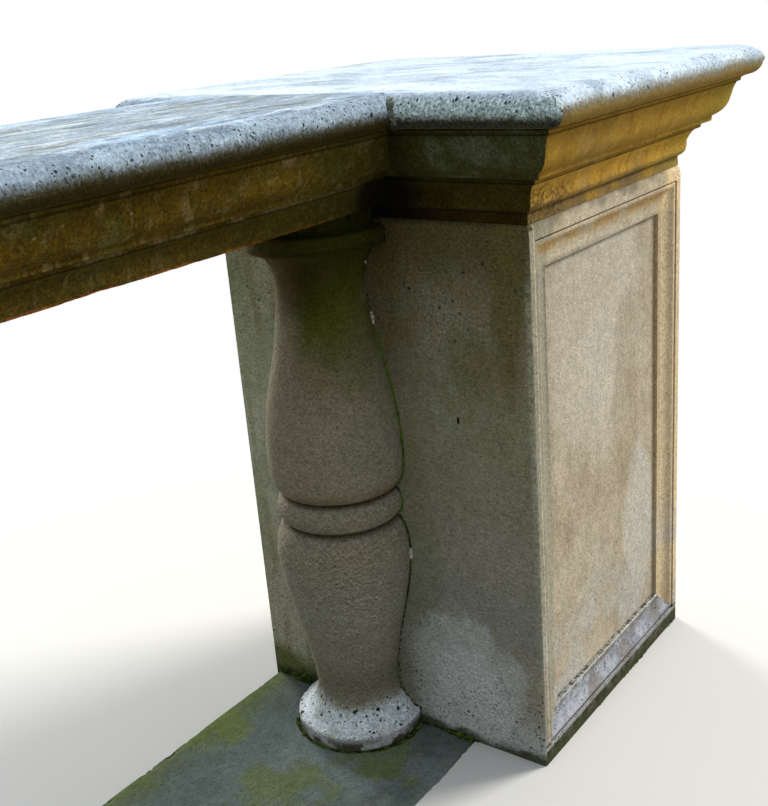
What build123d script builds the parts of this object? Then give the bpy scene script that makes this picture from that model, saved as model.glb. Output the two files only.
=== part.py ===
from build123d import *
import os

# A limestone balustrade: two end piers, six bays of moulded rail on turned balusters.
# Millimetres, Z up. The row runs along X, the terrace side faces -Y, the garden side +Y.
# z = 0 is the bed of the lowest stones, the terrace level is the top of the base course.

# Sizes of the piers
pier_length = 525
pier_width = 573
shaft_height = 870
arris_round = 3
shoulder_round = 8

# Sizes of the sunk panels: margins to the arrises, width and depth of the moulded band
panel_side_margin = 17
panel_top_margin = 23
panel_foot_margin = 30
band_width = 48
band_step = 2
band_lip = 6
panel_depth = 19
quirk_width = 3
quirk_depth = 4

# Sizes of the moulding that runs round the caps and along the rail
neck_inset = 4
neck_height = 16
corona_foot = 66
nose_foot = 138
nose_radius = 23.5
nose_reach = 81.5
rail_half = 106
rail_foot = 22

# Sizes of the row
bay = 820
bays = 6
line_offset = 57
engaged_offset = 35
base_depth = 60
base_width = 436

# Sizes of the balusters
disc_radius = 108
disc_height = 29
bed_radius = 90
bed_height = 30
neck = 69
belly = 111
waist_ring = 103
waist_groove = 88

terrace = base_depth
die_top = terrace + shaft_height
rail_soffit = die_top + rail_foot
baluster_height = shaft_height + rail_foot
clear_length = bays * bay + 2 * engaged_offset
pier_face = clear_length / 2
pier_centre = pier_face + pier_length / 2

parts = {}


def moulding(half, foot):
    """Upright section of cap or rail: half is half its width at the die face, foot its lowest level."""
    with BuildSketch() as section:
        with BuildLine():
            if foot < neck_height:
                Polyline(
                    (0, foot),
                    (half - neck_inset, foot),
                    (half - neck_inset, neck_height),
                )
                ThreePointArc(
                    (half - neck_inset, neck_height),
                    (half + 4, neck_height + 4),
                    (half + 7, neck_height + 10),
                )
                Line((half + 7, neck_height + 10), (half + 7, neck_height + 14))
            else:
                Polyline((0, foot), (half + 7, foot), (half + 7, neck_height + 14))
            ThreePointArc(
                (half + 7, neck_height + 14),
                (half + 11, neck_height + 32),
                (half + 21, corona_foot - 7),
            )
            Polyline(
                (half + 21, corona_foot - 7),
                (half + 24, corona_foot - 7),
                (half + 24, corona_foot - 1),
                (half + 37, corona_foot + 2),
                (half + 38, corona_foot + 10),
            )
            Spline(
                (half + 38, corona_foot + 10),
                (half + 50, corona_foot + 17),
                (half + 58, corona_foot + 29),
                (half + 62, corona_foot + 44),
                (half + 68, nose_foot - 12),
            )
            Polyline(
                (half + 68, nose_foot - 12),
                (half + 68, nose_foot - 9),
                (half + 73, nose_foot - 9),
                (half + 73, nose_foot - 3),
                (half + nose_reach - 4, nose_foot - 3),
                (half + nose_reach - 4, nose_foot),
                (half + nose_reach, nose_foot),
            )
            ThreePointArc(
                (half + nose_reach, nose_foot),
                (half + nose_reach + nose_radius, nose_foot + nose_radius),
                (half + nose_reach, nose_foot + 2 * nose_radius),
            )
            Line((half + nose_reach, nose_foot + 2 * nose_radius), (0, nose_foot + 2 * nose_radius))
            mirror(about=Plane.YZ)
        make_face()
    return section.sketch


def moulded_block(length, width, foot):
    """Block with the moulding mitred round all four sides, its die face length by width."""
    reach = nose_reach + nose_radius + 1
    along = extrude(Plane.YZ * moulding(width / 2, foot), length / 2 + reach, both=True)
    across = extrude(Plane.XZ * moulding(length / 2, foot), width / 2 + reach, both=True)
    return along & across


def band(span):
    """Section of a sunk panel between two moulded bands, cut down from y = 5 to y = -panel_depth."""
    edge = span / 2
    inner = edge - band_width
    lip = band_lip - panel_depth
    with BuildSketch() as section:
        with BuildLine():
            Polyline((0, 5), (edge, 5), (edge, -band_step), (edge - 9, -band_step))
            Spline(
                (edge - 9, -band_step),
                (edge - 14, -band_step - 4),
                (edge - 24, lip + 3),
                (inner + 9, lip),
            )
            Polyline((inner + 9, lip), (inner, lip), (inner, -panel_depth), (0, -panel_depth))
            mirror(about=Plane.YZ)
        make_face()
    return section.sketch


def quirk(wide, tall, middle, depth):
    """Narrow groove round the inside of a wide by tall rectangle, down to depth."""
    place = Pos(0, (depth - 5) / 2, middle)
    inside = Box(wide - 2 * quirk_width, depth + 6, tall - 2 * quirk_width)
    return place * (Box(wide, depth + 5, tall) - inside)


def panel_recess(face_width):
    """Cutter for a sunk panel on a face in the XZ plane that looks to -Y, centred on x = 0."""
    wide = face_width - 2 * panel_side_margin
    tall = shaft_height - panel_top_margin - panel_foot_margin
    middle = terrace + panel_foot_margin + tall / 2
    level = Plane((0, 0, middle), x_dir=(1, 0, 0), z_dir=(0, 0, -1))
    upright = Plane((0, 0, middle), x_dir=(0, 0, 1), z_dir=(1, 0, 0))
    recess = extrude(level * band(wide), tall, both=True) & extrude(upright * band(tall), wide, both=True)
    recess += quirk(wide, tall, middle, band_step + quirk_depth)
    wide -= 2 * band_width
    tall -= 2 * band_width
    return recess + quirk(wide, tall, middle, panel_depth + quirk_depth / 2)


def pier_die():
    """Shaft of the pier at the +X end, seen from its own centre, plain on the -X side."""
    die = Pos(0, 0, die_top / 2) * Box(pier_length, pier_width, die_top)
    die = fillet(die.edges().filter_by(Axis.Z), arris_round)
    die = fillet(die.faces().sort_by(Axis.Z)[-1].edges(), shoulder_round)
    for turn in (0, 180):
        die -= Rot(0, 0, turn) * Pos(0, -pier_width / 2, 0) * panel_recess(pier_length)
    die -= Rot(0, 0, 90) * Pos(0, -pier_length / 2, 0) * panel_recess(pier_width)
    return die


def disc_edge(level, way):
    """Eased rim of a disc from its edge at level inwards, way is 1 for a top rim and -1 for a lower one."""
    return ThreePointArc(
        (disc_radius, level - way * 4),
        (disc_radius - 1.5, level - way),
        (disc_radius - 5, level),
    )


def baluster():
    """Double-vase baluster turned in one piece, standing on z = 0."""
    foot = disc_height
    disc_top = baluster_height - bed_height
    head = disc_top - disc_height

    def at(radius, share):
        return (radius, foot + share * (head - foot))

    with BuildSketch(Plane.XZ) as section:
        with BuildLine():
            Polyline((0, 0), (disc_radius - 2, 0), (disc_radius, 4), (disc_radius, foot - 4))
            disc_edge(foot, 1)
            Line((disc_radius - 5, foot), at(neck + 27, 0.001))
            Spline(
                at(neck + 27, 0.001),
                at(neck + 13, 0.022),
                at(neck + 3, 0.042),
                at(neck + 1, 0.075),
                at(neck + 13, 0.179),
                at(belly - 10, 0.284),
                at(belly, 0.370),
                at(belly - 4, 0.420),
                at(belly - 14, 0.444),
            )
            Line(at(belly - 14, 0.444), at(waist_groove, 0.448))
            ThreePointArc(at(waist_groove, 0.448), at(waist_ring, 0.481), at(waist_groove, 0.514))
            Line(at(waist_groove, 0.514), at(belly - 14, 0.518))
            Spline(
                at(belly - 14, 0.518),
                at(belly - 4, 0.541),
                at(belly, 0.595),
                at(belly - 8, 0.693),
                at(neck + 13, 0.802),
                at(neck + 2, 0.890),
                at(neck + 1, 0.955),
                at(neck + 10, 0.980),
                at(neck + 27, 0.999),
            )
            Line(at(neck + 27, 0.999), (disc_radius - 5, head))
            disc_edge(head, -1)
            Line((disc_radius, head + 4), (disc_radius, disc_top - 4))
            disc_edge(disc_top, 1)
            Polyline(
                (disc_radius - 5, disc_top),
                (bed_radius, disc_top),
                (bed_radius, baluster_height),
                (0, baluster_height),
                (0, 0),
            )
        make_face()
    return revolve(section.sketch, Axis.Z)


def keep_west_of(x, shape):
    """The part of shape that lies on the -X side of x."""
    return shape & Pos(x - 5000, 0, 0) * Box(10000, 4000, 4000)


# Piers: the one at the +X end is built, the one at the -X end is its mirror image
die = Pos(pier_centre, 0, 0) * pier_die()
cap = Pos(pier_centre, 0, die_top) * moulded_block(pier_length, pier_width, 0)
turned = baluster()
engaged = keep_west_of(pier_face, Pos(pier_face - engaged_offset, line_offset, terrace) * turned)
engaged -= cap
for name, stone in (("pier_die", die), ("pier_cap", cap), ("engaged_baluster", engaged)):
    parts[name + "_east"] = stone
    parts[name + "_west"] = mirror(stone, about=Plane.YZ)

# Rail: one stone to a bay, the end stones cut to fit against the cap mouldings
rail_face = Plane.YZ * moulding(rail_half, rail_foot)
first_axis = -pier_face + engaged_offset
for number in range(bays):
    start = first_axis + number * bay
    end = start + bay
    if number == 0:
        start = -pier_face
    if number == bays - 1:
        end = pier_face
    stone = Pos(start, line_offset, die_top) * extrude(rail_face, end - start)
    if number == 0:
        stone -= parts["pier_cap_west"]
    if number == bays - 1:
        stone -= cap
    parts[f"handrail_{number + 1}"] = stone

# Free balusters stand under the joints of the rail
for number in range(1, bays):
    parts[f"baluster_{number}"] = Pos(first_axis + number * bay, line_offset, terrace) * turned

# Base course: slabs jointed half way between the balusters
for number in range(bays + 1):
    start = max(first_axis + (number - 0.5) * bay, -pier_face)
    end = min(first_axis + (number + 0.5) * bay, pier_face)
    slab = Pos((start + end) / 2, line_offset, base_depth / 2) * Box(end - start, base_width, base_depth)
    parts[f"base_course_{number + 1}"] = slab

os.makedirs("parts", exist_ok=True)
for name, shape in parts.items():
    export_step(shape, f"parts/{name}.step")
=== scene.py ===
import math

import bmesh
import bpy
from mathutils import Matrix, Vector, kdtree, noise


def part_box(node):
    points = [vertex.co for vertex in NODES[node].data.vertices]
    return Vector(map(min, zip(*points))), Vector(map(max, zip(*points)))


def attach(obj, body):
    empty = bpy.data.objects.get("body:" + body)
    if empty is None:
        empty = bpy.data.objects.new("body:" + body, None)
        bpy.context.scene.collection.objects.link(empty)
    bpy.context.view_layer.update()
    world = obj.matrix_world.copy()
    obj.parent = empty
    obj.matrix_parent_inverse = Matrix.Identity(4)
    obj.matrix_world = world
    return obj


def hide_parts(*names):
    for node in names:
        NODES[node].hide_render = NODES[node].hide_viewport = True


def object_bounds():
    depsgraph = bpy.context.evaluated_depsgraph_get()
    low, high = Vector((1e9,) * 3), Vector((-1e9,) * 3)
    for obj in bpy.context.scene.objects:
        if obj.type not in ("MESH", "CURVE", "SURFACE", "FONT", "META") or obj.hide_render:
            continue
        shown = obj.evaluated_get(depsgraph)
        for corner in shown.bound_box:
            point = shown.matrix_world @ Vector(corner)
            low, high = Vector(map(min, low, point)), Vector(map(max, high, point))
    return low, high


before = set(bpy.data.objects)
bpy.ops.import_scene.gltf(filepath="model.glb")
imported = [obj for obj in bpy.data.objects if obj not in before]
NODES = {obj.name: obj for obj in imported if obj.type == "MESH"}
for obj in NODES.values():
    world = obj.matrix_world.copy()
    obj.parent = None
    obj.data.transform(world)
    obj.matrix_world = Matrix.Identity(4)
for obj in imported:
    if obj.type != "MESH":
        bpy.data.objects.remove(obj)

CAD_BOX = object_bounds()

# Levels and places in the row frame, in metres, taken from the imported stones
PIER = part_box("pier_die_east")
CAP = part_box("pier_cap_east")
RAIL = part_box("handrail_3")
RAIL_FOOT = RAIL[0].z
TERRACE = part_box("base_course_4")[1].z
PIER_FACE, PIER_MIDDLE, PIER_END, PIER_SIDE = PIER[0].x, (PIER[0].x + PIER[1].x) / 2, PIER[1].x, PIER[1].y
CAP_FOOT = CAP[0].z
TOP = CAP[1].z
LINE = (RAIL[0].y + RAIL[1].y) / 2
RAILS_WEST_FIRST = sorted((n for n in NODES if n.startswith("handrail")), key=lambda n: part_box(n)[1].x)
END_RAILS = {"east": RAILS_WEST_FIRST[-1], "west": RAILS_WEST_FIRST[0]}
RAIL_END = max(v.co.x for v in NODES[END_RAILS["east"]].data.vertices if v.co.z > TOP - 0.0005)

# Camera fitted to the photograph: place in metres, turn in radians, focal length in pixels
EYE = Vector((PIER_FACE - 1.3144, -1.0301, TERRACE + 1.1685))
YAW, PITCH, ROLL = -0.6555, 0.3421, -0.0811
FOCAL_PX = 1128.0
LONG_SIDE_PX = 806
SENSOR_MM = 36.0

# Levels of the foot of the nose, of the lower mouldings' top and of the sills of the panels
NOSE_FOOT = TOP - 0.047
LOWER_TOP = CAP_FOOT + 0.068
SILL_FOOT, SILL_TOP = TERRACE + 0.031, TERRACE + 0.078

# Arrises of the mouldings, above the foot of the cap, and the grooves round a baluster, all painted dark with
# dirt and painted shade
DIRT_AND_SHADE_LINES = (0.1365, 0.1290, 0.0665, 0.0590)
CAP_FOOT_LINE = 0.0165
GROOVES = (0.391, 0.441)

# Sunk panels: depth of the sill's back, and distance from the middle plus level at the mitres of the sill
PANEL_BACK = 0.0215
LONG_MITRE, END_MITRE = 0.3355, 0.3595

# Stiles of the panels, as distance from the middle of the pier
STILE_IN, STILE_OUT, BEAD = 0.185, 0.205, 0.249

# The floor falls from the terrace to the bed between these turns from the row, out of the camera's sight
FAN_START, FAN_END = math.radians(27.0), math.radians(42.0)

# Soft dome of light: its strength at the rim and overhead, and its colour
DOME_RIM, DOME_TOP = 0.20, 1.0
DOME_COLOUR = (0.90, 0.95, 1.0)

# Floor: its colour to the camera and to bounced light, and where it turns white, in metres from the middle
FLOOR_SEEN, FLOOR_BOUNCE = (0.66, 0.66, 0.65), (0.26, 0.25, 0.23)
FLOOR_FADE, FLOOR_WHITE = 3.0, 4.6
FLOOR_REACH = 30.0

# Where most of a noise lies between
NOISE_LOW, NOISE_HIGH = 0.32, 0.68

# No stretch of a noise, and how far noise moves a spot out of its cell
EVEN = (1.0, 1.0, 1.0)
WOBBLE = 0.35

# Lift by which relief() compares the surface above, in metres
ABOVE = 0.0016

# Edges that turn by more than this are arrises, and the distance of the places picked along them
SHARP = math.radians(20.0)
ARRIS_STEP = 0.003

# Length of cut edges at an arris, on stones that the photograph shows and on the rest, how fast it grows
# away from there, and the most rounds of cuts
FINE, PLAIN, GRADE, ROUNDS = 0.0075, 0.012, 1.6, 14

# Scales of the noise of wear, broad swell, chips and crumbs, and the level that it has to pass to chip
SWELL, CHIP, CRUMB, UNBROKEN = 11.0, 48.0, 120.0, 0.30

# Edges of a worn copy that turn by more than this are shaded as sharp
STILL_SHARP = math.radians(26.0)


def put(name, data):
    """New object in the scene."""
    thing = bpy.data.objects.new(name, data)
    bpy.context.collection.objects.link(thing)
    return thing


def look():
    """Camera axes in the row frame from the fitted angles."""
    ahead = Vector((math.cos(YAW) * math.cos(PITCH), -math.sin(YAW) * math.cos(PITCH), -math.sin(PITCH)))
    level = Vector((-math.sin(YAW), -math.cos(YAW), 0.0))
    above = level.cross(ahead)
    right = math.cos(ROLL) * level + math.sin(ROLL) * above
    up = math.cos(ROLL) * above - math.sin(ROLL) * level
    return right, up, ahead


def add_camera():
    right, up, ahead = look()
    data = bpy.data.cameras.new("camera")
    data.sensor_fit = "AUTO"
    data.sensor_width = SENSOR_MM
    data.lens = FOCAL_PX / LONG_SIDE_PX * SENSOR_MM
    data.clip_start = 0.05
    data.clip_end = 200.0
    camera = put("camera", data)
    turn = Matrix((right, up, -ahead)).transposed()
    camera.matrix_world = Matrix.Translation(EYE) @ turn.to_4x4()
    bpy.context.scene.camera = camera


class Tree:
    """Short ways to add and link the nodes of a material or a world."""

    def __init__(self, tree):
        self.tree = tree
        tree.nodes.clear()

    def add(self, kind, *values, **more):
        """New node: values go to its inputs in turn, or by a Capital_Name; other names are settings."""
        node = self.tree.nodes.new("ShaderNode" + kind)
        for key, value in more.items():
            if key.islower():
                setattr(node, key, value)
        for socket, value in zip(node.inputs, values):
            self.link(value, socket)
        for key, value in more.items():
            if not key.islower():
                self.link(value, node.inputs[key.replace("_", " ")])
        return node

    def link(self, value, socket):
        """Links an output to a socket, or writes a constant there."""
        if isinstance(value, bpy.types.NodeSocket):
            self.tree.links.new(value, socket)
        elif isinstance(value, tuple) and len(value) == 3 and socket.type == "RGBA":
            socket.default_value = (*value, 1.0)
        else:
            socket.default_value = value

    def math(self, operation, *values):
        return self.add("Math", *values, operation=operation).outputs[0]

    def minus(self, a, b):
        return self.math("SUBTRACT", a, b)

    def vector(self, operation, *values, **more):
        return self.add("VectorMath", *values, operation=operation, **more).outputs

    def ramp(self, value, low, high, bottom, top, kind="LINEAR"):
        """From bottom at low to top at high, and level beyond them."""
        node = self.add("MapRange", value, low, high, bottom, top, interpolation_type=kind)
        return node.outputs[0]

    def rise(self, value, low, high):
        """Smooth step from 0 at low to 1 at high; low above high makes it fall."""
        if low > high:
            return self.ramp(value, high, low, 1.0, 0.0, "SMOOTHSTEP")
        return self.ramp(value, low, high, 0.0, 1.0, "SMOOTHSTEP")

    def camera_ray_mix(self, seen, unseen):
        """Shader that is seen for camera, glossy and transmission rays and unseen for the rest."""
        path = self.add("LightPath").outputs
        either = self.math("MAXIMUM", path["Is Camera Ray"], path["Is Glossy Ray"])
        any_ray = self.math("MAXIMUM", either, path["Is Transmission Ray"])
        return self.add("MixShader", any_ray, unseen.outputs[0], seen.outputs[0]).outputs[0]


def add_world():
    """White to the camera; to the object a pale soft dome, brighter overhead than at its rim."""
    world = bpy.data.worlds.new("world")
    bpy.context.scene.world = world
    world.use_nodes = True
    t = Tree(world.node_tree)
    split = t.add("SeparateXYZ", t.add("TexCoord").outputs["Generated"])
    level = t.ramp(split.outputs[2], 0.0, 1.0, DOME_RIM, DOME_TOP)
    fill = t.add("Background", Color=DOME_COLOUR, Strength=level)
    white = t.add("Background", Color=(1.0, 1.0, 1.0), Strength=1.0)
    t.add("OutputWorld", Surface=t.camera_ray_mix(white, fill))


def add_sun(name, towards, strength, spread, colour):
    """Soft light from a direction, as from a wide panel far away."""
    data = bpy.data.lights.new(name, "SUN")
    data.energy = strength
    data.angle = math.radians(spread)
    data.color = colour
    lamp = put(name, data)
    lamp.location = towards
    lamp.rotation_mode = "QUATERNION"
    lamp.rotation_quaternion = (-Vector(towards)).to_track_quat("-Z", "Y")


def floor_material():
    """Pale to the camera and white further off; duller to the light that bounces off it."""
    material = bpy.data.materials.new("floor")
    material.use_nodes = True
    t = Tree(material.node_tree)
    pale = t.add("BsdfDiffuse", Color=FLOOR_SEEN)
    dull = t.add("BsdfDiffuse", Color=FLOOR_BOUNCE)
    white = t.add("Emission", Strength=1.0)
    away = t.vector("LENGTH", t.add("TexCoord").outputs["Object"])["Value"]
    far = t.rise(away, FLOOR_FADE, FLOOR_WHITE)
    fade = t.add("MixShader", far, pale.outputs[0], white.outputs[0])
    t.add("OutputMaterial", Surface=t.camera_ray_mix(fade, dull))
    return material


def add_floor():
    """Plain floor on two levels: the terrace, and the bed of the stones on the garden side."""
    reach = FLOOR_REACH
    edge = LINE - (RAIL[1].y - RAIL[0].y) / 2
    side = CAD_BOX[1].x + 0.005
    high = TERRACE - 0.001
    verts = [(-reach, -reach, high), (reach, -reach, high), (side, edge, high), (-side, edge, high)]
    verts += [(side, edge, 0.0), (-side, edge, 0.0)]
    for turn, level in ((FAN_START, high), (FAN_END, 0.0)):
        x, y = side + reach * math.cos(turn), edge + reach * math.sin(turn)
        verts += [(x, y, level), (-x, y, level)]
    faces = [(0, 1, 2, 3), (1, 6, 2), (0, 3, 7), (5, 4, 8, 9), (2, 6, 8, 4), (3, 5, 9, 7), (3, 2, 4, 5)]
    mesh = bpy.data.meshes.new("floor")
    mesh.from_pydata(verts, [], faces)
    mesh.materials.append(floor_material())
    put("floor", mesh)


class Stone(Tree):
    """One stone material, built up in layers of colour, height and roughness in row coordinates."""

    def __init__(self, name):
        self.material = bpy.data.materials.new(name)
        self.material.use_nodes = True
        super().__init__(self.material.node_tree)
        self.where = self.add("TexCoord").outputs["Object"]
        self.x, self.y, self.z = self.add("SeparateXYZ", self.where).outputs
        normal = self.add("NewGeometry").outputs["Normal"]
        _, self.ny, self.nz = self.add("SeparateXYZ", normal).outputs
        self.far_x = self.math("ABSOLUTE", self.x)
        self.far_y = self.math("ABSOLUTE", self.y)
        self.folded = self.add("CombineXYZ", self.far_x, self.y, self.z).outputs[0]
        self.colour = None
        self.height = 0.0

    def both(self, *masks):
        """Product of masks."""
        total = masks[0]
        for mask in masks[1:]:
            total = self.math("MULTIPLY", total, mask)
        return total

    def either(self, a, b):
        return self.math("MAXIMUM", a, b)

    def near(self, value, centre, reach):
        """1 where value is at centre, 0 beyond reach."""
        gap = self.math("ABSOLUTE", self.minus(value, centre))
        return self.rise(gap, reach, 0.0)

    def place(self, seed, stretch=EVEN, lift=0.0):
        """Row coordinates moved to a part of the noise that belongs to the seed."""
        shift = (seed * 3.17, seed * 1.73, seed * 2.39 + lift * stretch[2])
        return self.add("Mapping", Vector=self.where, Location=shift, Scale=stretch).outputs[0]

    def noise(self, scale, seed, detail=3.0, rough=0.55, stretch=EVEN, lift=0.0):
        where = self.place(seed, stretch, lift)
        node = self.add("TexNoise", Vector=where, Scale=scale, Detail=detail, Roughness=rough)
        return node.outputs["Fac"]

    def blotch(self, scale, seed, low, high, **more):
        """Noise cut to a mask: 0 below low, 1 above high."""
        return self.rise(self.noise(scale, seed, **more), low, high)

    def ragged(self, value, swing, scale, seed, detail=4.0):
        """A value pushed up by noise, by as much as swing."""
        return self.math("ADD", value, self.math("MULTIPLY", self.noise(scale, seed, detail=detail), swing))

    def spots(self, scale, seed, share, size, soft=0.12):
        """Scattered round spots, one to a cell, in a share of the cells."""
        wobble = self.add("TexNoise", Vector=self.place(seed + 0.5), Scale=scale * 1.7, Detail=0.0)
        shift = self.vector("SCALE", wobble.outputs["Color"], Scale=WOBBLE / scale)[0]
        moved = self.vector("ADD", self.place(seed), shift)[0]
        cell = self.add("TexVoronoi", Vector=moved, Scale=scale).outputs
        pick = self.add("SeparateColor", cell["Color"]).outputs
        chosen = self.math("GREATER_THAN", pick[0], 1.0 - share)
        width = self.math("MULTIPLY_ADD", pick[1], size * 0.6, size * 0.4)
        inside = self.minus(width, cell["Distance"])
        return self.both(chosen, self.rise(inside, 0.0, soft))

    def patch(self, centre, reach, seed, ragged=0.7, soft=0.35, scale=9.0):
        """1 inside a ragged ellipsoid round a place on either half of the row, x taken from its middle."""
        away = self.vector("SUBTRACT", self.folded, centre)[0]
        far = self.vector("LENGTH", self.vector("DIVIDE", away, reach)[0])["Value"]
        wave = self.minus(self.noise(scale, seed, detail=5.0, rough=0.6), 0.5)
        edge = self.math("ADD", far, self.math("MULTIPLY", wave, ragged * 2.0))
        return self.rise(edge, 1.0 + soft / 2, 1.0 - soft / 2)

    def paint(self, colour, *masks, blend="MIX"):
        """Lays a colour over what is there, as far as all the masks say."""
        if self.colour is None:
            self.colour = colour
            return
        mask = self.both(*masks) if masks else 1.0
        node = self.add("Mix", mask, data_type="RGBA", blend_type=blend, clamp_factor=True)
        self.link(self.colour, node.inputs[6])
        self.link(colour, node.inputs[7])
        self.colour = node.outputs[2]

    def tint(self, colour, *masks):
        """Multiplies what is there by a colour, as far as all the masks say."""
        self.paint(colour, *masks, blend="MULTIPLY")

    def shade(self, gain):
        """Brightens or darkens what is there."""
        self.colour = self.vector("SCALE", self.colour, Scale=gain)[0]

    def raise_by(self, mask, metres):
        self.height = self.math("ADD", self.height, self.math("MULTIPLY", mask, metres))

    def finish(self, rough_low=0.82, rough_high=0.97):
        rough = self.ramp(self.noise(60.0, 90), 0.3, 0.7, rough_low, rough_high, "SMOOTHSTEP")
        bump = self.add("Bump", Strength=1.0, Distance=1.0, Height=self.height)
        shader = self.add("BsdfPrincipled", Base_Color=self.colour, Roughness=rough,
                          Specular_IOR_Level=0.10, Normal=bump.outputs[0])
        self.add("OutputMaterial", Surface=shader.outputs[0])
        return self.material

    # What the stones of this object share

    def bed(self, light, dark, seed):
        """Mottled body colour: broad clouds, hand-sized patches and sandy grain."""
        self.paint(dark)
        self.paint(light, self.blotch(5.0, seed, 0.35, 0.66, detail=4.0, rough=0.6))
        self.tint((0.86, 0.85, 0.83), self.blotch(22.0, seed + 1, 0.42, 0.66, detail=4.0))

    def grain(self, depth, seed, contrast=1.0):
        """Sandy pitted surface: dressed undulation, coarse and fine grains, small pits."""
        coarse = self.noise(95.0, seed + 1, rough=0.65)
        fine = self.noise(250.0, seed + 2, rough=0.7)
        self.raise_by(self.noise(14.0, seed, detail=2.0), depth * 2.2)
        self.raise_by(coarse, depth * 1.6)
        self.raise_by(fine, depth * 1.1)
        pits = self.spots(170.0, seed + 3, 0.42, size=0.40, soft=0.25)
        self.raise_by(pits, -depth * 0.9)
        self.tint((0.55, 0.54, 0.50), pits, 0.75 * contrast)
        for value, swing in ((coarse, 0.16), (fine, 0.26)):
            swing *= contrast
            self.shade(self.ramp(value, NOISE_LOW, NOISE_HIGH, 1.0 - swing, 1.0 + swing))

    def dots(self, colour, seed, where, scale=190.0, share=0.55):
        """Thick black or pale dots of crust lichen, small ones with a few larger."""
        small = self.spots(scale, seed, share, size=0.38)
        large = self.spots(scale * 0.5, seed + 1, share * 0.35, size=0.34)
        self.paint(colour, self.either(small, large), where)

    def speckle(self, scale, seed, dark, light, where, share=1.0):
        """Dark hollows and pale grains of a weathered skin."""
        value = self.noise(scale, seed, rough=0.75)
        self.tint(dark, self.rise(value, 0.47, 0.38), where, share)
        self.tint(light, self.rise(value, 0.53, 0.62), where, share)

    def relief(self, scale, seed, depth, contrast, where=1.0, stretch=EVEN):
        """Wrinkled skin, with painted light on its slopes that face up and painted shade on those that face
        down.
        """
        here = self.noise(scale, seed, rough=0.6, stretch=stretch)
        above = self.noise(scale, seed, rough=0.6, stretch=stretch, lift=ABOVE)
        self.raise_by(self.both(here, where), depth)
        # Slopes that face up are brightened and those that face down darkened: painted light and shade
        slope = self.both(self.minus(here, above), where, contrast)
        self.shade(self.math("ADD", slope, 1.0))

    def inner_side(self, grow=0.0):
        """1 on the side of a pier that looks towards the rail, up to the mitres of its mouldings."""
        out_x = self.minus(PIER_FACE, self.far_x)
        out_y = self.minus(self.far_y, PIER[1].y)
        return self.rise(self.minus(out_x, out_y), -0.0030 - grow, -0.0010 - grow)


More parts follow.
